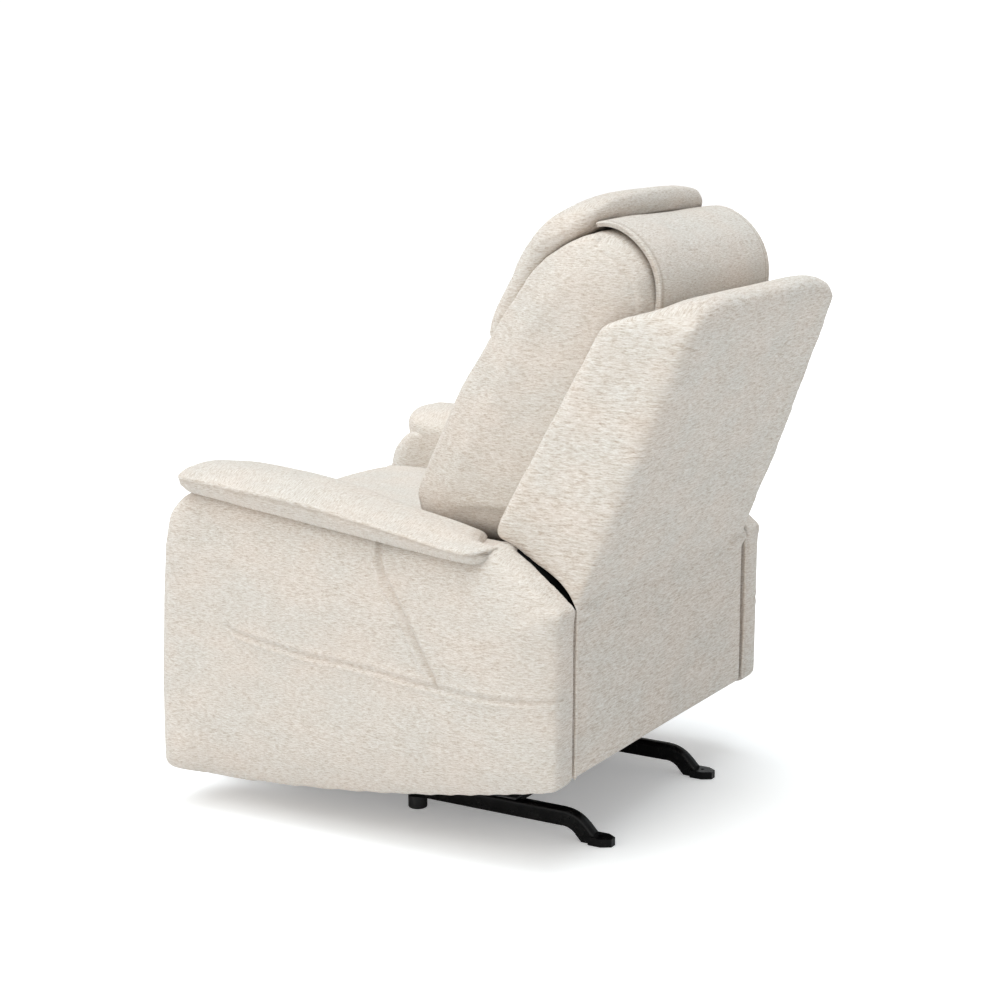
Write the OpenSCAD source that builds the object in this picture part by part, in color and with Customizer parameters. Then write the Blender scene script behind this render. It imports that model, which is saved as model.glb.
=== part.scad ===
// Rocker recliner armchair with a tilting headrest and a fold-out footrest.
// The chair faces -Y, the sitter's left is +X, and the floor is at Z = 0.

/* [Overall] */
// Width over the outsides of the arms
overall_w = 860; // [840:2:880]
// Depth from the footrest's face to the rear corner of the back
overall_d = 972; // [968:1:976]
// Width between the arms
seat_w = 532; // [520:2:540]
// Thickness of an arm's outer panel
outer_panel_t = 38; // [34:1:42]
// Thickness of an arm's inner panel
inner_panel_t = 26; // [22:1:30]

/* [Back] */
// Lean of the outside back from upright, in degrees
back_lean = 21.3; // [21:0.1:21.5]
// Length of the outside back along its lean
back_len = 501; // [496:1:506]
// Half width of the outside back at its foot
back_foot_half = 330; // [320:1:330]
// Half width of the outside back at its top
back_top_half = 288; // [284:1:300]
// Thickness of the padding on the outside back
back_pad_t = 48; // [40:1:48]

/* [Base] */
// Distance between the centres of the two floor rails
rail_gap = 400; // [390:2:410]
// Width of a floor rail
rail_w = 22; // [20:1:24]
// Height of a floor rail
rail_h = 30; // [28:1:32]
// Wall of every steel tube
tube_wall = 2; // [1.5:0.1:2.5]
// Radius of the screw hole in a rear foot
foot_hole_r = 3.5; // [3:0.1:4]

/* [Linkage] */
// Length of a footrest link between its pivots
link_len = 220; // [216:1:222]
// Thickness of the linkage plates
plate_t = 5; // [4:0.5:5]
// Radial clearance of a turning pin in its hole
pin_clear = 0.06; // [0.03:0.01:0.1]

/* [Hidden] */
$fn = 64;

// Colours
cloth = "#d8d0c3";
black = "#17171a";
steel = "#7d8086";
wood = "#c9a878";

// Room left between parts that may slide past each other
gap = 2;
half_w = overall_w / 2;
seat_half = seat_w / 2;
front_y = -overall_d / 2;
rear_y = overall_d / 2;

// Base: tubes, glides, feet and tracks
rail_x = rail_gap / 2;
rail_top = 53;
rail_bottom = rail_top - rail_h;
rail_mid = rail_top - rail_h / 2;
rail_front_y = -345;
rail_bend_y = 220;
rail_bend_r = 50;
rail_bend_deg = 46;
// The bend is drawn this much thinner and laps this far into the straight runs
rail_bend_thin = 0.3;
rail_lap_deg = 2;
rail_slope_len = 60;
foot_h = 14;
foot_w = 34;
foot_front_y = 272;
foot_shoulder_y = 296;
foot_tip_y = 312;
foot_hole_y = 290;
glide_r = 17;
glide_round = 3;
glide_ys = [-330, -76];
bar = 25;
base_bar_top = 50;

// Rocker: the cam's nose turns on a rib across the track
rock_y = -20;
rock_z = 63;
rib_r = 7;
track_t = 3;
track_half = 150;
cam_r = 320;
cam_t = 8;
cam_half = 130;
chassis_bar_z = 120;
cross_ys = [rock_y - 110, rock_y + 110];
spring_x = 100;
spring_r = 16;
spring_wire_r = 2.5;
spring_turns = 5;
spring_steps = 14;
bolt_r = 4;
bolt_head_r = 7;

// Chassis: mechanism plates inside the seat rails
plate_x = 236;
seat_rail_x = plate_x + plate_t;
seat_rail_h = 40;
seat_top_z = 380;
seat_front_y = -400;
seat_rear_y = 150;
arm_bolt_ys = [-360, 140];
plate_bolt_ys = [-200, 0];
bolt_z = 365;
strap_t = 1.5;
strap_w = 50;

// Arms
arm_bottom_z = 67;
arm_front_y = -471;
arm_corner_r = 45;
arm_rear_y = 315;
arm_arc_r = 250;
wrap_t = 26;
frame_t = 40;
arm_in = seat_half;
arm_mid_in = arm_in + inner_panel_t;
arm_out = half_w - outer_panel_t;
flap_half = 329;
recess_front_y = 186;
recess_low_z = 395;

// The pad stops here beside the back's wing
pad_notch_y = 138;

// Reclining back: it swings about pivot C, and the arm's rear top is an arc about C
pivot_y = 90;
pivot_z = 320;
pivot_r = 6;
shell_arc_r = arm_arc_r - wrap_t + 7;
arm_recess_r = arm_arc_r - wrap_t + 1;
crease_y = rear_y - back_len * sin(back_lean);
crease_z = 435;
top_roll_s = 443; // above this the outside back is a deep roll behind the cushion
top_roll_d = 80;
frame_d = [back_pad_t + 1, back_pad_t + 25];
post_x = [234, 256];
bracket_x = [229, 234];
bracket_deg = 54;

// Headrest: it tilts about H at its lower end
head_y = 100;
head_z = 852;
head_end_r = 34;
head_pin_r = 5;
head_half = 245;
head_arm_x = [119, 124];
head_plate_x = [125, 130];
head_slot_x = [116, 133];
pillow_half = seat_half - 5;
head_flap_half = 212;

// Footrest: link A turns with the drive tube about P0, P1 is the elbow, P2 carries the board
p0 = [-280, 330];
link_a_deg = -80;
link_b_deg = 112;
p1 = p0 + link_len * [cos(link_a_deg), sin(link_a_deg)];
p2 = p1 + link_len * [cos(link_b_deg), sin(link_b_deg)];
link_w = 22;
link_a_x = [218, 223];
link_b_x = [224, 229];
link_pin_r = 4;
drive_r = 10;
journal_r = 8;
board_t = 18;
board_back_y = -440;
board_z = [125, 452];
board_half = 258;

// Release latch, in the outer panel of the right arm
latch_y = [-350, -230];
latch_z = [400, 460];
latch_depth = 28;
lever_t = 6;
lever_pin_r = 3;
lever_pin_y = -244;
lever_pin_x = -half_w + 7;
cable_r = 3;
cable_y = -290;
cable_x = -340;
cable_low_z = 325;

function arc(cy, cz, r, from, to, steps = 8) =
    [for (i = [0:steps]) let (a = from + (to - from) * i / steps) [cy + r * cos(a), cz + r * sin(a)]];

// Lower edge of an arm: it rises towards the rear
function arm_bottom(y) =
    arm_bottom_z + 2 + 0.022 * (y - arm_front_y - 58) + 0.00014 * pow(y - arm_front_y - 58, 2);

// Side outline of an arm, moved in by i
function arm_outline(i = 0) = let (r = max(arm_corner_r - i, 4)) concat(
    arc(arm_front_y + i + r, arm_bottom_z + i + r, r, 180, 270, 6),
    [for (k = [1:8]) let (y = arm_front_y + arm_corner_r + (arm_rear_y - i - arm_front_y - arm_corner_r) * k / 8)
        [y, arm_bottom(y) + i]],
    arc(pivot_y, pivot_z, arm_arc_r - i, 23, 64, 10),
    [[192 - 0.7 * i, 532 - 0.9 * i], [150 - 0.8 * i, 512 - i], [-400, 572 - i], [-440 + i, 532 - i], [-463 + i, 371]]);

function cam_outline() = concat(
    [[rock_y + cam_half, chassis_bar_z], [rock_y - cam_half, chassis_bar_z]],
    arc(rock_y, rock_z + cam_r, cam_r, 270 - asin(cam_half / cam_r), 270 + asin(cam_half / cam_r), 16));

// Draws a side outline (Y, Z) and extrudes it from x0 to x1
module along_x(x0, x1) translate([x0, 0, 0]) rotate([90, 0, 90]) linear_extrude(x1 - x0) children();

module both_sides() {
    children();
    mirror([1, 0, 0]) children();
}

module right() mirror([1, 0, 0]) children();

module box(x, y, z) translate([x[0], y[0], z[0]]) cube([x[1] - x[0], y[1] - y[0], z[1] - z[0]]);

// A round bar along X from x0 to x1, centred on the side point p
module pin(x0, x1, p, r) translate([x0, p[0], p[1]]) rotate([0, 90, 0]) cylinder(h = x1 - x0, r = r);

module square_tube_x(half, y, z) difference() {
    box([-half, half], [y - bar / 2, y + bar / 2], [z, z + bar]);
    box([-half - 1, half + 1], [y - bar / 2 + tube_wall, y + bar / 2 - tube_wall],
        [z + tube_wall, z + bar - tube_wall]);
}

// A flat link between two side points, with round ends
module link_outline(a, b, ra, rb) {
    d = b - a;
    turn = atan2(d[1], d[0]);
    translate(a) circle(r = ra);
    translate(b) circle(r = rb);
    translate(a) rotate(turn) translate([0, -link_w / 2]) square([norm(d), link_w]);
}

// ---- Base ----

module rail_section(inset = 0) {
    w = rail_w - 2 * inset;
    h = rail_h - 2 * inset;
    r = 8 - inset;
    translate([-w / 2, -h / 2]) square([w, h - r]);
    translate([-w / 2 + r, -h / 2]) square([w - 2 * r, h]);
    for (s = [-1, 1]) translate([s * (w / 2 - r), h / 2 - r]) circle(r = r);
}

// The rail's run: level, a bend down towards the rear, and a slope to the foot
module rail_run() {
    translate([0, rail_bend_y, rail_mid]) rotate([90, 0, 0])
        linear_extrude(rail_bend_y - rail_front_y) rail_section();
    translate([0, rail_bend_y, rail_mid - rail_bend_r]) rotate([90, 0, 90])
        rotate([0, 0, 90 - rail_bend_deg - rail_lap_deg])
            rotate_extrude(angle = rail_bend_deg + 2 * rail_lap_deg)
                translate([rail_bend_r, 0]) rotate(-90) rail_section(rail_bend_thin);
    translate([0, rail_bend_y, rail_mid - rail_bend_r]) rotate([-rail_bend_deg, 0, 0])
        translate([0, 0, rail_bend_r]) rotate([-90, 0, 0]) rotate([0, 0, 180])
            linear_extrude(rail_slope_len) rail_section();
}

module base_rail() color(black) translate([rail_x, 0, 0]) difference() {
    rail_run();
    translate([0, rail_bend_y - 20, rail_mid]) rotate([90, 0, 0])
        linear_extrude(rail_bend_y - rail_front_y) rail_section(tube_wall);
    box([-30, 30], [foot_front_y, 400], [-80, foot_h]);
    box([-30, 30], [foot_shoulder_y - 16, 400], [-80, 100]);
    box([-30, 30], [200, 400], [-80, 0.5]);
    for (y = [-140, 100]) translate([0, y, rail_mid]) cylinder(h = 40, r = bolt_r);
}

module base_rail_left() base_rail();
module base_rail_right() right() base_rail();

module base_crossbar_front() color(black)
    square_tube_x(rail_x - rail_w / 2, cross_ys[0], base_bar_top - bar);
module base_crossbar_rear() color(black)
    square_tube_x(rail_x - rail_w / 2, cross_ys[1], base_bar_top - bar);

module rear_foot() color(black) difference() {
    translate([rail_x, 0, 0]) linear_extrude(foot_h)
        polygon([[-foot_w / 2, foot_front_y], [foot_w / 2, foot_front_y], [foot_w / 2, foot_shoulder_y],
                 [foot_w / 5, foot_tip_y], [-foot_w / 5, foot_tip_y], [-foot_w / 2, foot_shoulder_y]]);
    translate([rail_x, foot_hole_y, -1]) cylinder(h = foot_h + 2, r = foot_hole_r);
}

module rear_foot_left() rear_foot();
module rear_foot_right() right() rear_foot();

module floor_glides() color(black) both_sides()
    for (y = glide_ys) translate([rail_x, y, 0]) rotate_extrude() union() {
        translate([0, glide_round]) square([glide_r, rail_bottom - glide_round]);
        square([glide_r - glide_round, glide_round]);
        translate([glide_r - glide_round, glide_round]) circle(r = glide_round);
    }

module rocker_track() color(steel) difference() {
    union() {
        box([rail_x - 12, rail_x + 12], [rock_y - track_half, rock_y + track_half],
            [rail_top, rail_top + track_t]);
        box([rail_x - 12, rail_x + 12], [rock_y - 4, rock_y + 4], [rail_top, rock_z - 2]);
        pin(rail_x - 12, rail_x + 12, [rock_y, rock_z], rib_r);
    }
    for (y = [-140, 100]) translate([rail_x, y, rail_top - 1]) cylinder(h = 10, r = bolt_r);
}

module rocker_track_left() rocker_track();
module rocker_track_right() right() rocker_track();

module track_bolts() color(steel) both_sides()
    for (y = [-140, 100]) translate([rail_x, y, 0]) {
        translate([0, 0, rail_top - tube_wall]) cylinder(h = tube_wall + track_t, r = bolt_r);
        translate([0, 0, rail_top + track_t]) cylinder(h = 1.2, r = bolt_head_r);
    }

// Coil spring from z0 to z1: flat ended rings of points swept up a helix
module coil_spring(z0, z1) {
    sides = 6;
    rings = spring_turns * spring_steps;
    rise = z1 - z0 - 2 * spring_wire_r;
    points = [for (i = [0:rings]) let (a = 360 * i / spring_steps, z = z0 + spring_wire_r + rise * i / rings)
        for (k = [0:sides - 1]) let (b = 360 * k / sides, r = spring_r + spring_wire_r * cos(b))
            [r * cos(a), r * sin(a), z + spring_wire_r * sin(b)]];
    walls = [for (i = [0:rings - 1]) for (k = [0:sides - 1]) let (n = (k + 1) % sides)
        [i * sides + k, i * sides + n, (i + 1) * sides + n, (i + 1) * sides + k]];
    polyhedron(points, concat([[for (k = [sides - 1:-1:0]) k]], walls,
                              [[for (k = [0:sides - 1]) rings * sides + k]]), convexity = 10);
}

module rocker_springs() color(steel) both_sides()
    for (y = cross_ys) translate([spring_x, y, 0])
        coil_spring(base_bar_top + 0.3, chassis_bar_z - 0.3);

// ---- Chassis ----

module rocker_cam() color(steel) difference() {
    along_x(rail_x - cam_t / 2, rail_x + cam_t / 2) polygon(cam_outline());
    pin(rail_x - cam_t, rail_x + cam_t, [rock_y, rock_z], rib_r + pin_clear);
}

module rocker_cam_left() rocker_cam();
module rocker_cam_right() right() rocker_cam();

module chassis_crossbar_front() color(steel) square_tube_x(plate_x, cross_ys[0], chassis_bar_z);
module chassis_crossbar_rear() color(steel) square_tube_x(plate_x, cross_ys[1], chassis_bar_z);

module mechanism_plate() color(steel) difference() {
    along_x(plate_x, plate_x + plate_t)
        polygon([[-310, seat_top_z], [-310, 295], [-150, chassis_bar_z], [110, chassis_bar_z],
                 [122, 290], [122, seat_top_z]]);
    pin(plate_x - 1, plate_x + plate_t + 1, p0, journal_r + pin_clear);
    pin(plate_x - 1, plate_x + plate_t + 1, [pivot_y, pivot_z], pivot_r);
    for (y = plate_bolt_ys) pin(plate_x - 1, plate_x + plate_t + 1, [y, bolt_z], bolt_r);
}

module mechanism_plate_left() mechanism_plate();
module mechanism_plate_right() right() mechanism_plate();

module seat_rail() color(wood) difference() {
    box([seat_rail_x, arm_in], [seat_front_y, seat_rear_y], [seat_top_z - seat_rail_h, seat_top_z]);
    for (y = concat(arm_bolt_ys, plate_bolt_ys)) pin(seat_rail_x - 1, arm_in + 1, [y, bolt_z], bolt_r);
}

module seat_rail_left() seat_rail();
module seat_rail_right() right() seat_rail();

module seat_rail_front() color(wood)
    box([-seat_rail_x, seat_rail_x], [seat_front_y, seat_front_y + 22], [352, seat_top_z]);
module seat_rail_rear() color(wood)
    box([-plate_x, plate_x], [40, 62], [345, seat_top_z]);

// Elastic straps: five run front to back and four cross over them
module seat_webbing() color(black) {
    for (x = [-180:90:180])
        box([x - strap_w / 2, x + strap_w / 2], [seat_front_y, 62], [seat_top_z, seat_top_z + strap_t]);
    for (y = [-330:105:-15])
        box([-arm_in + gap, arm_in - gap], [y, y + strap_w],
            [seat_top_z + strap_t, seat_top_z + 2 * strap_t]);
}

module seat_cushion() color(cloth) along_x(-arm_in + 4, arm_in - 4)
    polygon(concat([[50, 385], [50, 491], [-380, 508]], arc(-432, 478, 34, 66, 180, 8),
                   [[-464, 463], [-436, 459], [-436, 385]]));

// Plywood ring inside an arm, with a rail across it that takes the bolts
module arm_frame(cable_hole = false) color(wood) difference() {
    along_x(arm_mid_in, arm_out) intersection() {
        union() {
            difference() {
                polygon(arm_outline(wrap_t));
                polygon(arm_outline(wrap_t + frame_t));
            }
            intersection() {
                polygon(arm_outline(wrap_t));
                translate([-500, 345]) square([1000, 40]);
            }
        }
        translate([-500, 0]) square([775, 700]);
    }
    for (y = arm_bolt_ys) pin(arm_mid_in - 1, arm_mid_in + 30, [y, bolt_z], bolt_r);
    if (cable_hole) translate([-cable_x, cable_y, 300]) cylinder(h = 100, r = cable_r + 5);
}

module arm_frame_left() arm_frame();
module arm_frame_right() right() arm_frame(true);

// Padded board on the outside of an arm, with its edge eased
module arm_outer_panel() color(cloth) {
    ease = 12;
    along_x(arm_out, half_w - ease) polygon(arm_outline());
    along_x(half_w - ease, half_w) polygon(arm_outline(ease));
}

module latch_block(grow = 0)
    box([-half_w - 1, -half_w + latch_depth + grow], [latch_y[0] - grow, latch_y[1] + grow],
        [latch_z[0] - grow, latch_z[1] + grow]);

module arm_outer_panel_left() arm_outer_panel();
module arm_outer_panel_right() difference() {
    right() arm_outer_panel();
    color(cloth) latch_block(0);
    color(cloth) pin(-arm_out - 20, -arm_out + 5, [cable_y, 430], cable_r + 1);
}

// Beside the swinging back the inner half of an arm is lower than its padded edge
module arm_inner_panel() color(cloth) difference() {
    along_x(arm_in, arm_mid_in) intersection() {
        polygon(arm_outline());
        translate([-500, 0]) square([773, 700]);
        union() {
            translate([-500, 0]) square([recess_front_y + 500, 700]);
            translate([-500, 0]) square([900, recess_low_z]);
            translate([pivot_y, pivot_z]) circle(r = arm_recess_r);
        }
    }
    for (y = arm_bolt_ys) pin(arm_in - 1, arm_mid_in + 1, [y, bolt_z], bolt_r);
    pin(arm_in - 1, arm_mid_in + 1, [cable_y, cable_low_z], cable_r + 1);
}

module arm_inner_panel_left() arm_inner_panel();
module arm_inner_panel_right() right() arm_inner_panel();

// Foam and cloth wrapped round the edge of the frame: front, top and rear strip
module arm_wrap() color(cloth) {
    along_x(arm_mid_in, flap_half + 3) intersection() {
        difference() {
            polygon(arm_outline());
            polygon(arm_outline(wrap_t));
        }
        polygon([[-500, 0], [-300, 0], [-300, 400], [recess_front_y, 400], [recess_front_y, 700],
                 [-500, 700]]);
    }
    along_x(flap_half + 3, arm_out) difference() {
        polygon(arm_outline());
        polygon(arm_outline(wrap_t));
    }
}

module arm_wrap_left() arm_wrap();
module arm_wrap_right() right() arm_wrap();

module arm_pad() color(cloth) difference() {
    along_x(arm_in + 2, half_w)
        polygon([[-400, 572], [150, 512], [186, 530], [187, 541], [150, 549], [20, 574], [-115, 597],
                 [-250, 613], [-370, 616], [-415, 610], [-438, 597], [-440, 588], [-425, 575]]);
    box([0, flap_half + 3], [pad_notch_y, 250], [450, 650]);
}

module arm_pad_left() arm_pad();
module arm_pad_right() right() arm_pad();

module back_flap() color(cloth) box([-flap_half, flap_half], [279, 300], [151, 345]);

// ---- Release latch ----

module release_bezel() color(black) difference() {
    box([-half_w, -half_w + latch_depth], latch_y, latch_z);
    box([-half_w - 1, -half_w + latch_depth - 3], latch_y + [6, -6], latch_z + [6, -6]);
    translate([lever_pin_x, lever_pin_y, latch_z[0] - 1])
        cylinder(h = latch_z[1] - latch_z[0] + 2, r = lever_pin_r + pin_clear);
}

module release_lever() color(black) {
    translate([lever_pin_x, lever_pin_y, latch_z[0] + 1])
        cylinder(h = latch_z[1] - latch_z[0] - 2, r = lever_pin_r);
    translate([0, 0, latch_z[0] + 8]) difference() {
        linear_extrude(latch_z[1] - latch_z[0] - 16) {
            translate([lever_pin_x - lever_t / 2, latch_y[0] + 10])
                square([lever_t, lever_pin_y - latch_y[0] - 10]);
            translate([lever_pin_x, lever_pin_y]) circle(r = lever_t / 2 + 1.5);
        }
        translate([lever_pin_x, latch_y[0] + 30, -1]) cylinder(h = 60, r = 0.5);
    }
}

// Sheathed cable: in from the latch, down inside the arm, and across to the mechanism
module release_cable() color(black) {
    start_x = -half_w + latch_depth;
    pin(start_x, cable_x, [cable_y, 430], cable_r);
    translate([cable_x, cable_y, 430]) sphere(r = cable_r);
    translate([cable_x, cable_y, cable_low_z]) cylinder(h = 430 - cable_low_z, r = cable_r);
    translate([cable_x, cable_y, cable_low_z]) sphere(r = cable_r);
    pin(cable_x, -seat_rail_x, [cable_y, cable_low_z], cable_r);
}

module back_pivot_pins() color(steel) both_sides() {
    pin(225, seat_rail_x, [pivot_y, pivot_z], pivot_r);
    pin(221, 227, [pivot_y, pivot_z], pivot_r + 4);
}

module chassis_bolts() color(steel) both_sides() {
    for (y = arm_bolt_ys) {
        pin(seat_rail_x - 4, seat_rail_x, [y, bolt_z], bolt_head_r);
        pin(seat_rail_x, arm_mid_in + 30, [y, bolt_z], bolt_r);
    }
    for (y = plate_bolt_ys) {
        pin(plate_x - 4, plate_x, [y, bolt_z], bolt_head_r);
        pin(plate_x, arm_in, [y, bolt_z], bolt_r);
    }
}

// ---- Back ----

// Places children in the back's own frame: -Y is into the padding, +Z runs up the lean
module on_back() translate([0, crease_y, crease_z]) rotate([-back_lean, 0, 0]) children();

// World side point at depth d and height s of the back's own frame
function back_point(d, s) = [crease_y + s * sin(back_lean) - d * cos(back_lean),
                             crease_z + s * cos(back_lean) + d * sin(back_lean)];

// Steel arm from the pivot, under the cushion, and up the inside of a back post
module back_bracket() color(steel) difference() {
    union() {
        pin(bracket_x[0], bracket_x[1], [pivot_y, pivot_z], 20);
        along_x(bracket_x[0], bracket_x[1]) translate([pivot_y, pivot_z])
            rotate(bracket_deg) translate([0, -18]) square([200, 36]);
        along_x(bracket_x[0], bracket_x[1])
            polygon([[190, 430], [234, 487], back_point(frame_d[0], 50), back_point(frame_d[0], 200),
                     back_point(frame_d[1], 200), back_point(frame_d[1], 60), [247, 499], [205, 498],
                     [193, 490]]);
    }
    pin(bracket_x[0] - 1, bracket_x[1] + 1, [pivot_y, pivot_z], pivot_r + pin_clear);
}

module back_bracket_left() back_bracket();
module back_bracket_right() right() back_bracket();

module back_post() color(wood) on_back() box(post_x, [-frame_d[1], -frame_d[0]], [60, 440]);
module back_post_left() back_post();
module back_post_right() right() back_post();

module back_top_rail() color(wood) on_back()
    box([-post_x[0], post_x[0]], [-frame_d[1], -frame_d[0]], [400, 440]);
module back_bottom_rail() color(wood) on_back()
    box([-bracket_x[0], bracket_x[0]], [-frame_d[1], -frame_d[0]], [70, 110]);

// Padded outer back: a rear wall with a wing each side, cut away clear of the arms
module back_shell() color(cloth) difference() {
    on_back() intersection() {
        along_x(-back_foot_half, back_foot_half)
            polygon([[0, -20], [0, back_len], [-8, back_len + 17], [-24, back_len + 27], [-50, back_len + 11],
                     [-80, back_len - 11], [-110, back_len - 34], [-130, back_len - 52], [-140, 436],
                     [-183, 40], [-170, -20]]);
        rotate([90, 0, 0]) linear_extrude(400)
            polygon([[-back_foot_half, -40], [back_foot_half, -40], [back_foot_half, 0],
                     [back_top_half + 1, back_len - 15], [back_top_half - 26, back_len + 15],
                     [back_top_half - 90, back_len + 27], [90 - back_top_half, back_len + 27],
                     [26 - back_top_half, back_len + 15], [-back_top_half - 1, back_len - 15],
                     [-back_foot_half, 0]]);
    }
    on_back() box([-arm_in + gap, arm_in - gap], [-400, -back_pad_t], [-60, top_roll_s]);
    on_back() box([-arm_in + gap, arm_in - gap], [-400, -top_roll_d], [top_roll_s - 1, back_len + 60]);
    pin(-400, 400, [pivot_y, pivot_z], shell_arc_r);
}

// Loose pillow: full height in the middle, a little less at its rounded sides
pillow_edge = concat([[0, 501], [246, 501], back_point(frame_d[1] + 2, 55), back_point(frame_d[1] + 2, 430),
                      [377, 904], [382, 932], [381, 953], [375, 975], [363, 997], [346, 1015], [329, 1028],
                      [308, 1036], [286, 1036], [262, 1020], [240, 1007], [212, 984], [190, 964], [169, 934],
                      [152, 900], [141, 868], [134, 832], [112, 813], [64, 795], [49, 765], [21, 713],
                      [-39, 609], [-54, 568], [-50, 532], [-24, 508]]);
pillow_mid = [150, 760];
pillow_side = 0.93;

module back_cushion() color(cloth) difference() {
    union() {
        along_x(-pillow_half + 36, pillow_half - 36) polygon(pillow_edge);
        along_x(-pillow_half, pillow_half)
            polygon([for (p = pillow_edge) [pillow_mid[0] + pillow_side * (p[0] - pillow_mid[0]),
                                            pillow_mid[1] + pillow_side * (p[1] - pillow_mid[1])]]);
    }
    for (s = [-1, 1]) box([s * (head_slot_x[0] + head_slot_x[1]) / 2 - 9,
                           s * (head_slot_x[0] + head_slot_x[1]) / 2 + 9], [90, 440], [826, 906]);
}

// Steel strips that carry the headrest's pivot forward from the top rail
module headrest_arms() color(steel) both_sides() difference() {
    along_x(head_arm_x[0], head_arm_x[1]) union() {
        translate([head_y, head_z]) circle(r = 13);
        polygon([[head_y, head_z - 13], back_point(frame_d[1], 402), back_point(frame_d[1], 438),
                 [head_y, head_z + 13]]);
    }
    pin(head_arm_x[0] - 1, head_arm_x[1] + 1, [head_y, head_z], head_pin_r + pin_clear);
}

// Cloth panel from behind the headrest, over the cushion's top, into the back
module headrest_flap() color(cloth) along_x(-head_flap_half, head_flap_half)
    polygon([[310, 1038], [332, 1030], [349, 1016], [366, 998], [378, 976], [384, 954], [385, 932],
             [381, 911], [386, 909], [391, 931], [390, 956], [383, 979], [371, 1002], [353, 1021],
             [335, 1035], [312, 1044]]);

// ---- Headrest ----

module headrest_pad() color(cloth) difference() {
    along_x(-head_half, head_half)
        polygon(concat(arc(head_y, head_z, head_end_r, 170, 330, 12),
                       [[138, 866], [148, 905], [165, 938], [187, 968], [210, 988], [241, 1012],
                        [262, 1026], [292, 1042], [306, 1056], [308, 1074], [296, 1084], [280, 1083],
                        [252, 1072], [218, 1054], [185, 1031], [152, 1002], [122, 966], [94, 922],
                        [72, 875]]));
    for (s = [-1, 1]) along_x(s * (head_slot_x[0] + head_slot_x[1]) / 2 - 8.5,
                              s * (head_slot_x[0] + head_slot_x[1]) / 2 + 8.5)
        polygon([[84, 832], [120, 800], [190, 820], [190, 950], [170, 962], [146, 958], [100, 880],
                 [84, 872]]);
}

module headrest_plates() color(steel) both_sides() {
    along_x(head_plate_x[0], head_plate_x[1]) union() {
        translate([head_y, head_z]) circle(r = 11);
        polygon([[head_y - 4, head_z + 10], [148, 950], [166, 942], [head_y + 10, head_z - 4]]);
    }
    pin(head_slot_x[0] + 1, head_plate_x[1] + 1, [head_y, head_z], head_pin_r);
}

// ---- Footrest linkage ----

module drive_tube() color(steel) {
    difference() {
        pin(-plate_x + 1, plate_x - 1, p0, drive_r);
        pin(-plate_x + 10, plate_x - 10, p0, drive_r - tube_wall);
    }
    both_sides() pin(plate_x - 1, plate_x + plate_t + 4, p0, journal_r);
}

module foot_link_a() color(steel) {
    difference() {
        along_x(link_a_x[0], link_a_x[1]) link_outline(p0, p1, 16, 12);
        pin(link_a_x[0] - 1, link_a_x[1] + 1, p0, drive_r);
    }
    pin(link_a_x[0] - 2, link_b_x[1] + 2, p1, link_pin_r);
}

module foot_link_a_left() foot_link_a();
module foot_link_a_right() right() foot_link_a();

module foot_link_b() color(steel) difference() {
    along_x(link_b_x[0], link_b_x[1]) link_outline(p1, p2, 12, 12);
    for (p = [p1, p2]) pin(link_b_x[0] - 1, link_b_x[1] + 1, p, link_pin_r + pin_clear);
}

module foot_link_b_left() foot_link_b();
module foot_link_b_right() right() foot_link_b();

module footrest_board() color(wood)
    box([-board_half, board_half], [board_back_y - board_t, board_back_y], board_z);

module footrest_pad() color(cloth)
    box([-board_half - 2, board_half + 2], [front_y, board_back_y - board_t],
        [board_z[0] - 3, board_z[1] + 3]);

module footrest_brackets() color(steel) both_sides() {
    along_x(link_a_x[0], link_a_x[1]) union() {
        translate(p2) circle(r = 12);
        polygon([p2 + [0, 12], p2 + [0, -12], [board_back_y, 270], [board_back_y, 345]]);
    }
    box([200, link_a_x[1]], [board_back_y, board_back_y + 3], [265, 350]);
    pin(link_a_x[0] - 2, link_b_x[1] + 2, p2, link_pin_r);
}

base_rail_left();
base_rail_right();
base_crossbar_front();
base_crossbar_rear();
rear_foot_left();
rear_foot_right();
floor_glides();
rocker_track_left();
rocker_track_right();
track_bolts();
rocker_springs();
rocker_cam_left();
rocker_cam_right();
chassis_crossbar_front();
chassis_crossbar_rear();
mechanism_plate_left();
mechanism_plate_right();
seat_rail_left();
seat_rail_right();
seat_rail_front();
seat_rail_rear();
seat_webbing();
seat_cushion();
arm_frame_left();
arm_frame_right();
arm_outer_panel_left();
arm_outer_panel_right();
arm_inner_panel_left();
arm_inner_panel_right();
arm_wrap_left();
arm_wrap_right();
arm_pad_left();
arm_pad_right();
back_flap();
release_bezel();
release_cable();
back_pivot_pins();
chassis_bolts();
release_lever();
back_bracket_left();
back_bracket_right();
back_post_left();
back_post_right();
back_top_rail();
back_bottom_rail();
back_shell();
back_cushion();
headrest_arms();
headrest_flap();
headrest_pad();
headrest_plates();
drive_tube();
foot_link_a_left();
foot_link_a_right();
foot_link_b_left();
foot_link_b_right();
footrest_board();
footrest_pad();
footrest_brackets();
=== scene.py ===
"""Visual model of a rocker recliner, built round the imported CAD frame.

The chair faces -Y, the sitter's left is +X, and the floor is at Z = 0. Lengths are in metres.
"""
import math

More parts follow.
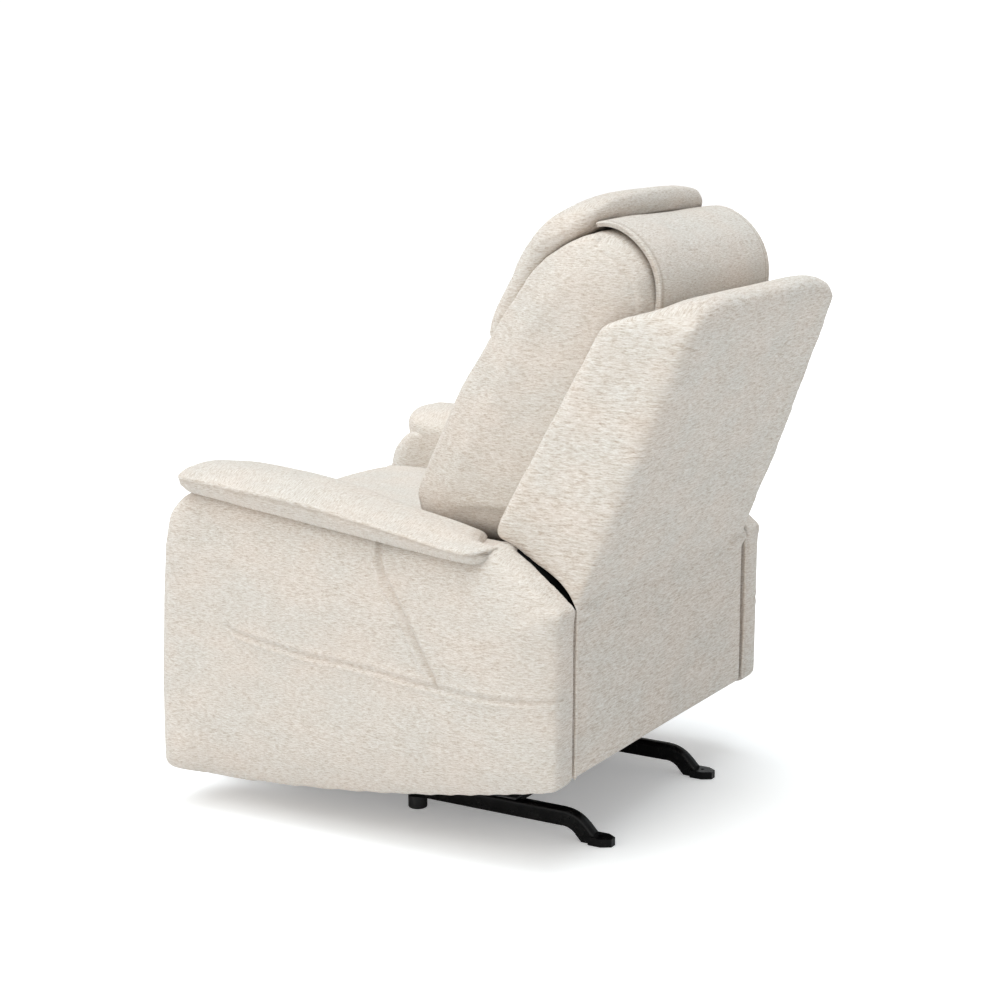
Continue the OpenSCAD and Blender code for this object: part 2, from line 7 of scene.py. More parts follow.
import bmesh
import bpy
import numpy as np
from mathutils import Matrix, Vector


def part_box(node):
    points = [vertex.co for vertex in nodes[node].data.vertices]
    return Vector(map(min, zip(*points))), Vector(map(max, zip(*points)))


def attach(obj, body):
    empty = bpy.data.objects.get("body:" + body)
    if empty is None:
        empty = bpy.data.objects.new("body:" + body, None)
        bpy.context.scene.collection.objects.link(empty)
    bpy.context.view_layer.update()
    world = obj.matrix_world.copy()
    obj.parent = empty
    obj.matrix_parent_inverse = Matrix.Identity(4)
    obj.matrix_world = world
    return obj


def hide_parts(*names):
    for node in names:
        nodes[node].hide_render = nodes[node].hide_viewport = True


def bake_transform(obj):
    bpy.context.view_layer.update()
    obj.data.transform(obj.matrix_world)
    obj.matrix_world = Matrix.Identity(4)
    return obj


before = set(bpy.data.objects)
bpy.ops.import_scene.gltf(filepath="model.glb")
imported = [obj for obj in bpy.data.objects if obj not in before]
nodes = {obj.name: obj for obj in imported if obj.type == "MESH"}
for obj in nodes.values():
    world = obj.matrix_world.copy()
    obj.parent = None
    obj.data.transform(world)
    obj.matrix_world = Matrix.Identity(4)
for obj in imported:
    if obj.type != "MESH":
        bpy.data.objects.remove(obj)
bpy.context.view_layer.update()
scene = bpy.context.scene

PIVOT = (0.09, 0.32)          # side point that the back swings about
LEAN = math.radians(21.3)     # lean of the outside back
CREASE = (0.304, 0.435)       # side point where the outside back starts to lean
SIM_FRAMES = 20
PRESSURE = 4.0                # that swells the pads
FINE = 0.0065                 # voxel size of the padded pieces
SEAT_HALF = 0.2625            # the seat and the pillow stay within this, between the arms
WING_IN = 0.262               # inner side of the outside back's wings


# ---- Mesh helpers ----

def new_object(name, verts, faces):
    mesh = bpy.data.meshes.new(name)
    mesh.from_pydata([tuple(map(float, v)) for v in verts], [], faces)
    obj = bpy.data.objects.new(name, mesh)
    scene.collection.objects.link(obj)
    work = bmesh.new()
    work.from_mesh(mesh)
    bmesh.ops.recalc_face_normals(work, faces=work.faces)
    work.to_mesh(mesh)
    work.free()
    return obj


def coords(obj):
    co = np.empty(len(obj.data.vertices) * 3)
    obj.data.vertices.foreach_get("co", co)
    return co.reshape(-1, 3)


def put(obj, co):
    obj.data.vertices.foreach_set("co", np.ascontiguousarray(co, np.float32).ravel())
    obj.data.update()


def normals(obj):
    n = np.empty(len(obj.data.vertices) * 3)
    obj.data.vertex_normals.foreach_get("vector", n)
    return n.reshape(-1, 3)


def edges(obj):
    e = np.empty(len(obj.data.edges) * 2, np.int32)
    obj.data.edges.foreach_get("vertices", e)
    return e.reshape(-1, 2)


def bake(obj):
    """Applies the object's modifiers to its mesh."""
    bpy.context.view_layer.update()
    graph = bpy.context.evaluated_depsgraph_get()
    made = bpy.data.meshes.new_from_object(obj.evaluated_get(graph))
    obj.modifiers.clear()
    old = obj.data
    obj.data = made
    bpy.data.meshes.remove(old)
    made.name = obj.name


def voxel(obj, size):
    mod = obj.modifiers.new("voxel", "REMESH")
    mod.mode = "VOXEL"
    mod.voxel_size = size
    bake(obj)


def subdivide(obj):
    mod = obj.modifiers.new("subdivide", "SUBSURF")
    mod.levels = mod.render_levels = 1
    bake(obj)


def relax(co, pairs, times, weight=1.0):
    """Moves each point towards the mean of its neighbours."""
    a, b = pairs.T
    count = len(co)
    degree = np.maximum(np.bincount(a, minlength=count) + np.bincount(b, minlength=count), 1)[:, None]
    if np.ndim(weight):
        weight = weight[:, None]
    for _ in range(times):
        total = np.stack([np.bincount(a, co[b, k], count) + np.bincount(b, co[a, k], count)
                          for k in range(co.shape[1])], 1)
        co = co + 0.5 * weight * (total / degree - co)
    return co


def smooth(obj, times, weight=1.0):
    put(obj, relax(coords(obj), edges(obj), times, weight))


def ease(x, low, high):
    t = np.clip((x - low) / (high - low), 0, 1)
    return t * t * (3 - 2 * t)


def arc(y, z, r, start, end, steps):
    return [(y + r * math.cos(math.radians(start + (end - start) * i / steps)),
             z + r * math.sin(math.radians(start + (end - start) * i / steps))) for i in range(steps + 1)]


def curve(points, count, closed=False):
    """Catmull-Rom curve through the points, resampled evenly by length."""
    p = np.array(points, float)
    if closed:
        p = np.vstack([p[-1], p, p[0], p[1]])
    else:
        p = np.vstack([2 * p[0] - p[1], p, 2 * p[-1] - p[-2]])
    t = np.linspace(0, 1, 16, endpoint=False)[:, None]
    out = []
    for i in range(1, len(p) - 2):
        a, b, c, d = p[i - 1:i + 3]
        out.append(0.5 * (2 * b + (c - a) * t + (2 * a - 5 * b + 4 * c - d) * t ** 2
                          + (3 * b - a - 3 * c + d) * t ** 3))
    q = np.vstack(out + [p[-2:-1]])
    return resample(q, count, closed)


def resample(q, count, closed=False):
    q = np.array(q, float)
    if closed and np.linalg.norm(q[0] - q[-1]) > 1e-9:
        q = np.vstack([q, q[0]])
    run = np.r_[0, np.cumsum(np.linalg.norm(np.diff(q, axis=0), axis=1))]
    at = np.linspace(0, run[-1], count, endpoint=not closed)
    return np.stack([np.interp(at, run, q[:, k]) for k in range(q.shape[1])], 1)


def prism(outline, x0, x1):
    """Vertices and faces of a side outline (Y, Z) extruded from x0 to x1."""
    n = len(outline)
    verts = [(x, y, z) for x in (x0, x1) for y, z in outline]
    faces = [list(range(n))[::-1], list(range(n, 2 * n))]
    faces += [[i, (i + 1) % n, n + (i + 1) % n, n + i] for i in range(n)]
    return verts, faces


def block(x, y, z):
    return prism([(y[0], z[0]), (y[1], z[0]), (y[1], z[1]), (y[0], z[1])], *x)


def together(name, *solids):
    verts, faces = [], []
    for v, f in solids:
        faces += [[i + len(verts) for i in face] for face in f]
        verts += list(v)
    return new_object(name, verts, faces)


def node_solid(name):
    """Vertices and faces of a CAD node."""
    mesh = nodes[name].data
    return [tuple(v.co) for v in mesh.vertices], [list(p.vertices) for p in mesh.polygons]


def grid_faces(rows, cols, closed=True):
    last = cols if closed else cols - 1
    return [[r * cols + c, r * cols + (c + 1) % cols, (r + 1) * cols + (c + 1) % cols, (r + 1) * cols + c]
            for r in range(rows - 1) for c in range(last)]


def tube(path, radius, sides=8):
    """Vertices and faces of a tube along a 3-D path, closed at its ends."""
    p = np.array(path, float)
    t = np.gradient(p, axis=0)
    t /= np.linalg.norm(t, axis=1)[:, None]
    side = np.cross(t, (0.31, 0.12, 0.94))
    side /= np.linalg.norm(side, axis=1)[:, None]
    other = np.cross(t, side)
    a = np.linspace(0, 2 * math.pi, sides, endpoint=False)
    radii = np.full(len(p), radius)
    radii[0] = radii[-1] = radius * 0.5
    ring = (p[:, None] + radii[:, None, None] * (np.cos(a)[None, :, None] * side[:, None]
                                                + np.sin(a)[None, :, None] * other[:, None]))
    n = len(p)
    faces = grid_faces(n, sides)
    faces += [list(range(sides))[::-1], list(range((n - 1) * sides, n * sides))]
    return [tuple(v) for v in ring.reshape(-1, 3)], faces


def distance(points, path):
    """Distance from each point to a polyline, in as many dimensions as both have."""
    best = np.full(len(points), 1e9)
    path = np.array(path, float)
    for a, b in zip(path[:-1], path[1:]):
        d = b - a
        t = np.clip((points - a) @ d / max(d @ d, 1e-12), 0, 1)
        best = np.minimum(best, np.linalg.norm(points - a - t[:, None] * d, axis=1))
    return best


def groove(obj, path, depth, width, where=None, lip=0.35):
    """Sinks a seam into the surface along a 3-D path, with the cloth a little raised beside it."""
    co = coords(obj)
    n = normals(obj)
    d = distance(co, path)
    push = -depth * np.exp(-(d / width) ** 2) + depth * lip * np.exp(-((d - 2.2 * width) / width) ** 2)
    if where is not None:
        push = push * where(co)
    put(obj, co + n * push[:, None])


def ripple(co, scale, seed):
    """Smooth pseudo-random values from sums of sines, the same each run."""
    rng = np.random.default_rng(seed)
    out = np.zeros(len(co))
    for k in range(7):
        direction = rng.normal(size=3)
        direction /= np.linalg.norm(direction)
        out += np.sin(co @ direction * scale * (1 + 0.35 * k) + rng.uniform(0, 6.28)) / (1 + 0.5 * k)
    return out / 3


def puff(obj, cap, pinned=None):
    """Swells a closed mesh with Cloth pressure, and moves no point further than cap."""
    rest = coords(obj)
    mod = obj.modifiers.new("puff", "CLOTH")
    cloth = mod.settings
    cloth.quality = 5
    cloth.mass = 0.3
    cloth.tension_stiffness = cloth.compression_stiffness = 15
    cloth.shear_stiffness = 5
    cloth.bending_stiffness = 0.6
    cloth.use_pressure = True
    cloth.uniform_pressure_force = PRESSURE
    cloth.effector_weights.gravity = 0
    mod.collision_settings.use_collision = False
    mod.point_cache.frame_end = SIM_FRAMES
    if pinned is not None:
        group = obj.vertex_groups.new(name="held")
        group.add([int(i) for i in np.flatnonzero(pinned)], 1.0, "REPLACE")
        cloth.vertex_group_mass = "held"
    for f in range(1, SIM_FRAMES + 1):
        scene.frame_set(f)
    bake(obj)
    scene.frame_set(1)
    obj.vertex_groups.clear()
    move = coords(obj) - rest
    # The pressure may swell the pad, but hardly pulls its corners in
    put(obj, rest)
    out = normals(obj)
    inward = np.minimum(0, (move * out).sum(axis=1))
    move = move - 0.85 * inward[:, None] * out
    size = np.linalg.norm(move, axis=1)
    put(obj, rest + move * np.minimum(1, cap / np.maximum(size, 1e-9))[:, None])


# ---- Materials ----

def srgb(r, g, b):
    def lin(c):
        c /= 255
        return c / 12.92 if c <= 0.04045 else ((c + 0.055) / 1.055) ** 2.4
    return lin(r), lin(g), lin(b), 1.0


class Nodes:
    """Short names for building a material's nodes."""

    def __init__(self, name):
        self.mat = bpy.data.materials.new(name)
        self.mat.use_nodes = True
        self.tree = self.mat.node_tree
        self.shader = self.tree.nodes["Principled BSDF"]
        self.place = self.add("ShaderNodeTexCoord").outputs["Object"]

    def add(self, kind, **values):
        node = self.tree.nodes.new(kind)
        for key, value in values.items():
            setattr(node, key, value)
        return node

    def wire(self, a, b):
        self.tree.links.new(a, b)

    def scaled(self, scale, turn=(0, 0, 0)):
        node = self.add("ShaderNodeMapping")
        node.inputs["Scale"].default_value = scale
        node.inputs["Rotation"].default_value = turn
        self.wire(self.place, node.inputs["Vector"])
        return node.outputs["Vector"]

    def noise(self, vector, detail=2.0, rough=0.5, warp=0.0):
        node = self.add("ShaderNodeTexNoise")
        node.inputs["Scale"].default_value = 1.0
        node.inputs["Detail"].default_value = detail
        node.inputs["Roughness"].default_value = rough
        node.inputs["Distortion"].default_value = warp
        self.wire(vector, node.inputs["Vector"])
        return node.outputs["Fac"]

    def ramp(self, value, stops):
        node = self.add("ShaderNodeValToRGB")
        for k, (at, colour) in enumerate(stops):
            if k > 1:
                node.color_ramp.elements.new(at)
            node.color_ramp.elements[k].position = at
            node.color_ramp.elements[k].color = colour
        self.wire(value, node.inputs["Fac"])
        return node.outputs["Color"]

    def mix(self, fac, a, b, kind="MIX"):
        node = self.add("ShaderNodeMix", data_type="RGBA", blend_type=kind)
        for socket, value in ((node.inputs["Factor"], fac), (node.inputs[6], a), (node.inputs[7], b)):
            if isinstance(value, bpy.types.NodeSocket):
                self.wire(value, socket)
            else:
                socket.default_value = value
        return node.outputs[2]

    def maths(self, kind, a, b):
        node = self.add("ShaderNodeMath", operation=kind)
        for socket, value in zip(node.inputs, (a, b)):
            if isinstance(value, bpy.types.NodeSocket):
                self.wire(value, socket)
            else:
                socket.default_value = value
        return node.outputs[0]

    def attribute(self, name):
        return self.add("ShaderNodeAttribute", attribute_name=name).outputs["Fac"]

    def bump(self, height, distance, strength):
        node = self.add("ShaderNodeBump")
        node.inputs["Distance"].default_value = distance
        node.inputs["Strength"].default_value = strength
        self.wire(height, node.inputs["Height"])
        return node.outputs["Normal"]


def chenille(name, turn=(0, 0, 0), coarse=1.0):
    """Heathered chenille: short yarn dashes across the cloth over a fine nubby ground, with painted shade along
    the seams.
    """
    m = Nodes(name)
    up = m.attribute("up")

    def both(along, across, **kw):
        flat = m.noise(m.scaled((along, along, across), turn), **kw)
        top = m.noise(m.scaled((along, across, along), turn), **kw)
        return m.mix(up, flat, top)

    dash = both(105 / coarse, 700 / coarse, detail=3, rough=0.6, warp=0.35)
    yarn = both(330 / coarse, 1500 / coarse, detail=2, rough=0.6, warp=0.2)
    nub = m.noise(m.scaled((900, 900, 900)), detail=1)
    slow = m.noise(m.scaled((9, 9, 14)), detail=2)
    heather = m.maths("ADD", m.maths("MULTIPLY", dash, 0.62), m.maths("MULTIPLY", yarn, 0.38))
    colour = m.ramp(heather, [(0.34, srgb(184, 165, 150)), (0.43, srgb(208, 196, 184)),
                              (0.50, srgb(220, 211, 202)), (0.57, srgb(229, 222, 215)),
                              (0.66, srgb(240, 235, 230))])
    tint = m.ramp(slow, [(0.35, srgb(255, 252, 249)), (0.65, srgb(251, 252, 251))])
    colour = m.mix(1.0, colour, tint, "MULTIPLY")
    # Painted shade: the cloth darkens to a dusky brown along the seams, where shade falls in their grooves
    seam_shade = m.attribute("seam_shade")
    colour = m.mix(m.maths("MULTIPLY", seam_shade, 0.55), colour, srgb(168, 148, 128))
    m.wire(colour, m.shader.inputs["Base Color"])
    height = m.maths("ADD", m.maths("MULTIPLY", dash, 0.8), m.maths("MULTIPLY", yarn, 0.7))
    height = m.maths("ADD", height, m.maths("MULTIPLY", nub, 0.35))
    m.wire(m.bump(height, 0.0016, 0.75), m.shader.inputs["Normal"])
    rough = m.ramp(yarn, [(0.3, (0.98,) * 3 + (1,)), (0.7, (0.86,) * 3 + (1,))])
    m.wire(rough, m.shader.inputs["Roughness"])
    m.shader.inputs["Sheen Weight"].default_value = 0.25
    m.shader.inputs["Sheen Roughness"].default_value = 0.45
    m.shader.inputs["Specular IOR Level"].default_value = 0.2
    return m.mat


def black_paint():
    m = Nodes("black_gloss_paint")
    grain = m.noise(m.scaled((210, 210, 210)), detail=3)
    dust = m.noise(m.scaled((28, 28, 28)), detail=4, rough=0.65)
    m.wire(m.ramp(dust, [(0.35, (0.002, 0.002, 0.0023, 1)), (0.75, (0.006, 0.006, 0.006, 1))]),
           m.shader.inputs["Base Color"])
    m.wire(m.ramp(dust, [(0.3, (0.16,) * 3 + (1,)), (0.7, (0.34,) * 3 + (1,))]),
           m.shader.inputs["Roughness"])
    m.wire(m.bump(grain, 0.0003, 0.35), m.shader.inputs["Normal"])
    m.shader.inputs["Specular IOR Level"].default_value = 0.16
    m.shader.inputs["Coat Weight"].default_value = 0.06
    m.shader.inputs["Coat Roughness"].default_value = 0.12
    return m.mat


def black_plastic(name, low, high, bumpy):
    m = Nodes(name)
    grain = m.noise(m.scaled((1500, 1500, 1500)), detail=2)
    wear = m.noise(m.scaled((40, 40, 40)), detail=4)
    m.wire(m.ramp(wear, [(0.3, (0.012, 0.012, 0.013, 1)), (0.8, (0.028, 0.028, 0.03, 1))]),
           m.shader.inputs["Base Color"])
    m.wire(m.ramp(wear, [(0.3, (low,) * 3 + (1,)), (0.7, (high,) * 3 + (1,))]),
           m.shader.inputs["Roughness"])
    m.wire(m.bump(grain, bumpy, 0.5), m.shader.inputs["Normal"])
    return m.mat


def zinc():
    m = Nodes("zinc_plate")
    brushed = m.noise(m.scaled((90, 900, 900)), detail=3)
    cloud = m.noise(m.scaled((45, 45, 45)), detail=5, rough=0.6)
    m.wire(m.ramp(cloud, [(0.3, (0.32, 0.32, 0.33, 1)), (0.7, (0.55, 0.55, 0.54, 1))]),
           m.shader.inputs["Base Color"])
    m.wire(m.ramp(brushed, [(0.3, (0.28,) * 3 + (1,)), (0.7, (0.46,) * 3 + (1,))]),
           m.shader.inputs["Roughness"])
    m.wire(m.bump(brushed, 0.0002, 0.4), m.shader.inputs["Normal"])
    m.shader.inputs["Metallic"].default_value = 0.95
    return m.mat


def painted_steel():
    m = Nodes("mechanism_paint")
    cloud = m.noise(m.scaled((35, 35, 35)), detail=5, rough=0.6)
    grain = m.noise(m.scaled((420, 420, 420)), detail=2)
    m.wire(m.ramp(cloud, [(0.35, (0.018, 0.018, 0.02, 1)), (0.75, (0.045, 0.045, 0.047, 1))]),
           m.shader.inputs["Base Color"])
    m.wire(m.ramp(cloud, [(0.3, (0.32,) * 3 + (1,)), (0.7, (0.5,) * 3 + (1,))]),
           m.shader.inputs["Roughness"])
    m.wire(m.bump(grain, 0.0003, 0.4), m.shader.inputs["Normal"])
    return m.mat


def plywood():
    m = Nodes("plywood")
    grain = m.noise(m.scaled((170, 7, 9)), detail=6, rough=0.62, warp=1.1)
    pore = m.noise(m.scaled((900, 60, 60)), detail=2)
    layer = m.add("ShaderNodeTexWave", wave_type="BANDS", bands_direction="X")
    layer.inputs["Scale"].default_value = 95
    layer.inputs["Distortion"].default_value = 1.5
    m.wire(m.place, layer.inputs["Vector"])
    colour = m.ramp(grain, [(0.3, srgb(170, 128, 84)), (0.5, srgb(205, 167, 118)), (0.7, srgb(222, 190, 145))])
    colour = m.mix(m.maths("MULTIPLY", layer.outputs["Fac"], 0.25), colour, srgb(150, 108, 68))
    m.wire(colour, m.shader.inputs["Base Color"])
    m.wire(m.bump(m.maths("ADD", grain, pore), 0.0004, 0.5), m.shader.inputs["Normal"])
    m.wire(m.ramp(pore, [(0.3, (0.6,) * 3 + (1,)), (0.7, (0.78,) * 3 + (1,))]), m.shader.inputs["Roughness"])
    return m.mat


def webbing():
    m = Nodes("woven_webbing")
    ribs = m.add("ShaderNodeTexWave", wave_type="BANDS", bands_direction="DIAGONAL")
    ribs.inputs["Scale"].default_value = 150
    ribs.inputs["Distortion"].default_value = 0.6
    m.wire(m.place, ribs.inputs["Vector"])
    fuzz = m.noise(m.scaled((700, 700, 700)), detail=2)
    colour = m.ramp(ribs.outputs["Fac"], [(0.2, srgb(38, 36, 36)), (0.8, srgb(74, 71, 68))])
    colour = m.mix(m.maths("MULTIPLY", fuzz, 0.35), colour, srgb(96, 92, 86))
    m.wire(colour, m.shader.inputs["Base Color"])
    m.wire(m.bump(m.maths("ADD", ribs.outputs["Fac"], fuzz), 0.0006, 0.7), m.shader.inputs["Normal"])
    m.wire(m.ramp(fuzz, [(0.3, (0.8,) * 3 + (1,)), (0.7, (0.95,) * 3 + (1,))]), m.shader.inputs["Roughness"])
    return m.mat


def gap_shade_cloth():
    """Flat black cloth that paints the deep shade in the gaps between the arms and the back."""
    m = Nodes("black_gap_shade")
    weave = m.noise(m.scaled((800, 800, 800)), detail=2)
    slow = m.noise(m.scaled((30, 30, 30)), detail=3)
    m.wire(m.ramp(slow, [(0.3, (0.004, 0.004, 0.005, 1)), (0.7, (0.010, 0.010, 0.011, 1))]),
           m.shader.inputs["Base Color"])
    m.wire(m.bump(weave, 0.0004, 0.6), m.shader.inputs["Normal"])
    m.wire(m.ramp(weave, [(0.3, (0.85,) * 3 + (1,)), (0.7, (0.98,) * 3 + (1,))]), m.shader.inputs["Roughness"])
    m.shader.inputs["Specular IOR Level"].default_value = 0.15
    return m.mat


CLOTH = chenille("oatmeal_chenille")
CLOTH_BACK = chenille("oatmeal_chenille_back", (math.radians(-9), 0, 0), coarse=1.6)
PAINT = black_paint()
ZINC = zinc()
STEEL = painted_steel()
WOOD = plywood()
WEBBING = webbing()
# Black cloth that paints the shade in the gaps between the arms and the back
GAP_SHADE_CLOTH = gap_shade_cloth()
PLASTIC = black_plastic("black_moulded_plastic", 0.38, 0.55, 0.0003)
LATCH = black_plastic("black_latch_plastic", 0.28, 0.42, 0.0002)


def finish_cloth(obj, mat=CLOTH, shaded_seams=()):
    """Shades a cloth piece smooth and stores how far it faces up and how near a seam each point is, the mask of
    the painted seam shade.
    """
    obj.data.materials.clear()
    obj.data.materials.append(mat)
    obj.data.shade_smooth()
    n = relax(normals(obj), edges(obj), 10)
    n /= np.maximum(np.linalg.norm(n, axis=1), 1e-9)[:, None]
    up = ease(np.abs(n[:, 2]), 0.62, 0.80)
    obj.data.attributes.new("up", "FLOAT", "POINT").data.foreach_set("value", up.astype(np.float32))
    co = coords(obj)
    # How near a seam each point is, as the mask of the painted shade along the seams
    seam_shade = np.zeros(len(co))
    for path, width in shaded_seams:
        seam_shade = np.maximum(seam_shade, np.exp(-(distance(co, path) / width) ** 2))
    obj.data.attributes.new("seam_shade", "FLOAT", "POINT").data.foreach_set("value", seam_shade.astype(np.float32))


def mirrored(obj, name):
    mesh = obj.data.copy()
    made = bpy.data.objects.new(name, mesh)
    scene.collection.objects.link(made)
    co = coords(made)
    co[:, 0] *= -1
    put(made, co)
    mesh.flip_normals()
    return made


# ---- Arms ----

# X of the left arm's inner face, the step beside the wing, the rim and the fullest part of its outer face
ARM_IN, ARM_SPLIT, ARM_OUT, ARM_WIDE = 0.2705, 0.3325, 0.390, 0.430
ARM_FRONT, ARM_REAR = -0.480, 0.309
RECESS_R = 0.2235               # the lower, inner half beside the wing, about PIVOT
# Rear top of the outer half: degrees above the level, and radius about PIVOT
OUTER_ARC = [(28.5, 0.2540), (33, 0.2485), (40, 0.2400), (48, 0.2340), (56, 0.2310), (63, 0.2305), (68, 0.2320)]
RECESS_Y = 0.188                # front end of that recess


def arm_bottom(y):
    d = y * 1000 + 413
    return (60.0 + 0.022 * d + 0.00014 * d * d) / 1000


ARM_FRONT_EDGE = [(0.150, 0.520), (0.0, 0.530), (-0.2, 0.553), (-0.37, 0.574), (-0.400, 0.573), (-0.430, 0.558),
                  (-0.452, 0.530), (-0.464, 0.475), (-0.472, 0.371), (-0.479, 0.24), (ARM_FRONT, 0.15)]


def arm_outline(rear, low):
    """Side outline of an arm. The inner half stops short of the outside back and is lower beside it."""
    points = arc(ARM_FRONT + 0.026, arm_bottom(-0.45) + 0.027, 0.026, 180, 268, 6)
    points += [(y, arm_bottom(y)) for y in np.linspace(-0.42, rear - 0.010, 10)]
    points += [(rear, arm_bottom(rear) + 0.008)]
    if low:
        points += arc(*PIVOT, RECESS_R, math.degrees(math.acos((rear - PIVOT[0]) / RECESS_R)), 64.3, 10)
    else:
        points += [(rear + 0.001, 0.30), (rear + 0.002, 0.38), (0.3120, 0.425)]
        points += [(PIVOT[0] + r * math.cos(math.radians(a)), PIVOT[1] + r * math.sin(math.radians(a)))
                   for a, r in OUTER_ARC]
    return points + ([(RECESS_Y, 0.534)] if low else []) + ARM_FRONT_EDGE


ARM_SIDE = arm_outline(ARM_REAR, False)
ARM_LINE = resample(ARM_SIDE, 220, closed=True)
# Seams in the arm's outer face, as side lines (Y, Z)
DIAGONAL = curve([(-0.030, 0.56), (-0.022, 0.531), (-0.008, 0.483), (0.021, 0.443), (0.050, 0.397),
                  (0.078, 0.351), (0.106, 0.306)], 40)
GENTLE = curve([(-0.314, 0.352), (-0.291, 0.341), (-0.218, 0.330), (-0.148, 0.3215), (-0.078, 0.319),
                (-0.011, 0.3145), (0.055, 0.307), (0.106, 0.303), (0.185, 0.299), (0.257, 0.300),
                (0.312, 0.303)], 60)
FRONT_SEAM = curve([(-0.392, 0.062), (-0.391, 0.12), (-0.388, 0.17)], 12)


def side_path(line, obj):
    """Lifts a side line (Y, Z) onto the outer face of an arm."""
    co = coords(obj)
    outer = co[co[:, 0] > 0.37]
    x = [outer[np.argmin(np.linalg.norm(outer[:, 1:] - p, axis=1)), 0] for p in line]
    return np.column_stack([x, line])


def make_arm():
    obj = together("arm_body_left", prism(arm_outline(0.272, True), ARM_IN, ARM_SPLIT + 0.007),
                   prism(ARM_SIDE, ARM_SPLIT + 0.0015, ARM_OUT))
    voxel(obj, FINE)
    co = coords(obj)
    # The upper edges are softer than the fold down the rear corner and the lower edge
    soft = 0.25 + 0.75 * ease(co[:, 2], 0.30, 0.42) * ease(-co[:, 2], -0.60, -0.10)
    soft = np.maximum(soft, ease(-co[:, 1], 0.30, 0.42))
    # Beside the wing the rim stays fuller, because the frame lies close under it
    soft *= 1 - 0.55 * ease(co[:, 1], 0.12, 0.20) * ease(co[:, 2], 0.42, 0.48)
    smooth(obj, 8, soft)
    co = coords(obj)
    n = normals(obj)
    edge = distance(co[:, 1:], np.vstack([ARM_LINE, ARM_LINE[:1]]))
    outer = ease(co[:, 0], 0.345, 0.380) * (n[:, 0] > -0.2)
    reach = 0.013 + 0.032 * ease(co[:, 1], -0.44, -0.34)
    crown = (ARM_WIDE - ARM_OUT - 0.003) * (1 - np.exp(-edge / reach))
    crown += 0.0025 * ripple(co, 9, 4) * ease(edge, 0.02, 0.12)
    co[:, 0] += outer * crown
    # The cloth is drawn in along the diagonal seam and stands fuller behind it
    d = distance(co[:, 1:], DIAGONAL)
    co[:, 0] -= outer * 0.0028 * np.exp(-(d / 0.035) ** 2)
    # The front face swells a little between its edges
    face = ease(-co[:, 1], 0.43, 0.46) * ease(co[:, 0], 0.27, 0.31) * ease(-co[:, 0], -0.42, -0.37)
    co[:, 1] -= 0.004 * face
    # The inner front corner is well rounded
    t = np.clip((ARM_IN + 0.075 - co[:, 0]) / 0.075, 0, 1)
    co[:, 1] += 0.062 * (1 - np.sqrt(1 - np.minimum(t, 0.98) ** 2)) * ease(-co[:, 1], 0.36, 0.47)
    put(obj, co)
    smooth(obj, 2, 0.5)
    subdivide(obj)
    return obj


def seam_arm(obj):
    diagonal, gentle, front = (side_path(line, obj) for line in (DIAGONAL, GENTLE, FRONT_SEAM))
    groove(obj, diagonal, 0.0042, 0.0045, lambda c: ease(c[:, 2], 0.305, 0.33), lip=0.9)
    groove(obj, gentle, 0.0026, 0.0040,
           lambda c: 0.35 + 0.65 * ease(c[:, 1], -0.33, -0.27) * ease(-c[:, 1], -0.34, -0.15), lip=0.9)
    groove(obj, front, 0.0010, 0.0040, lambda c: ease(-c[:, 2], -0.175, -0.15))
    # The seam lines, with the width of the painted shade along each
    return [(diagonal, 0.0030), (gentle, 0.0018)]


arm_left = make_arm()
arm_seams = seam_arm(arm_left)
arm_right = mirrored(arm_left, "arm_body_right")
finish_cloth(arm_left, shaded_seams=arm_seams)
bezel_low, bezel_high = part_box("release_bezel")
co = coords(arm_right)
co[:, 0] += 0.60 * ease(co[:, 1], 0.20, 0.31) * np.maximum(0, -co[:, 0] - 0.386)
inside = ((co[:, 1] > bezel_low.y + 0.0025) & (co[:, 1] < bezel_high.y - 0.0025)
          & (co[:, 2] > bezel_low.z + 0.0025) & (co[:, 2] < bezel_high.z - 0.0025) & (co[:, 0] < -0.38))
co[inside, 0] = bezel_high.x + 0.004
put(arm_right, co)
finish_cloth(arm_right, shaded_seams=[(p * (-1, 1, 1), w) for p, w in arm_seams])
for obj, side in ((arm_left, "left"), (arm_right, "right")):
    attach(obj, "chassis")
    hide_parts(f"arm_outer_panel_{side}", f"arm_inner_panel_{side}", f"arm_wrap_{side}")


# ---- Arm pads ----

PAD_FRONT, PAD_REAR = -0.425, 0.184
# Side lines of a pad's crown, its seam and its lower edge
PAD_TOP = curve([(PAD_FRONT, 0.593), (-0.4235, 0.602), (-0.418, 0.609), (-0.405, 0.6145), (-0.38, 0.617),
                 (-0.34, 0.6165), (-0.30, 0.614), (-0.224, 0.607), (-0.142, 0.5965), (-0.08, 0.585),
                 (-0.023, 0.572), (0.054, 0.557), (0.111, 0.5465), (0.145, 0.541), (0.172, 0.5375),
                 (PAD_REAR, 0.535)], 110)
PAD_WELT = curve([(PAD_FRONT, 0.590), (-0.41, 0.5915), (-0.385, 0.592), (-0.289, 0.585), (-0.146, 0.573),
                  (-0.034, 0.558), (0.028, 0.549), (0.071, 0.542), (0.12, 0.533), (0.155, 0.5285),
                  (0.176, 0.5275), (PAD_REAR, 0.529)], 110)
PAD_BOTTOM = curve([(PAD_FRONT, 0.587), (-0.41, 0.576), (-0.385, 0.569), (-0.25, 0.553), (-0.1, 0.5365),
                    (0.0, 0.5255), (0.1, 0.515), (0.14, 0.512), (0.165, 0.511), (0.176, 0.5135),
                    (PAD_REAR, 0.522)], 110)


def at(line, y):
    return float(np.interp(y, line[:, 0], line[:, 1]))


def step(x, low, high):
    return float(ease(np.array(float(x)), low, high))


def quarter(t):
    """1 at the full width, falling along a quarter circle to 0 at the end."""
    return math.sqrt(max(0.0, 1 - min(t, 1.0) ** 2))


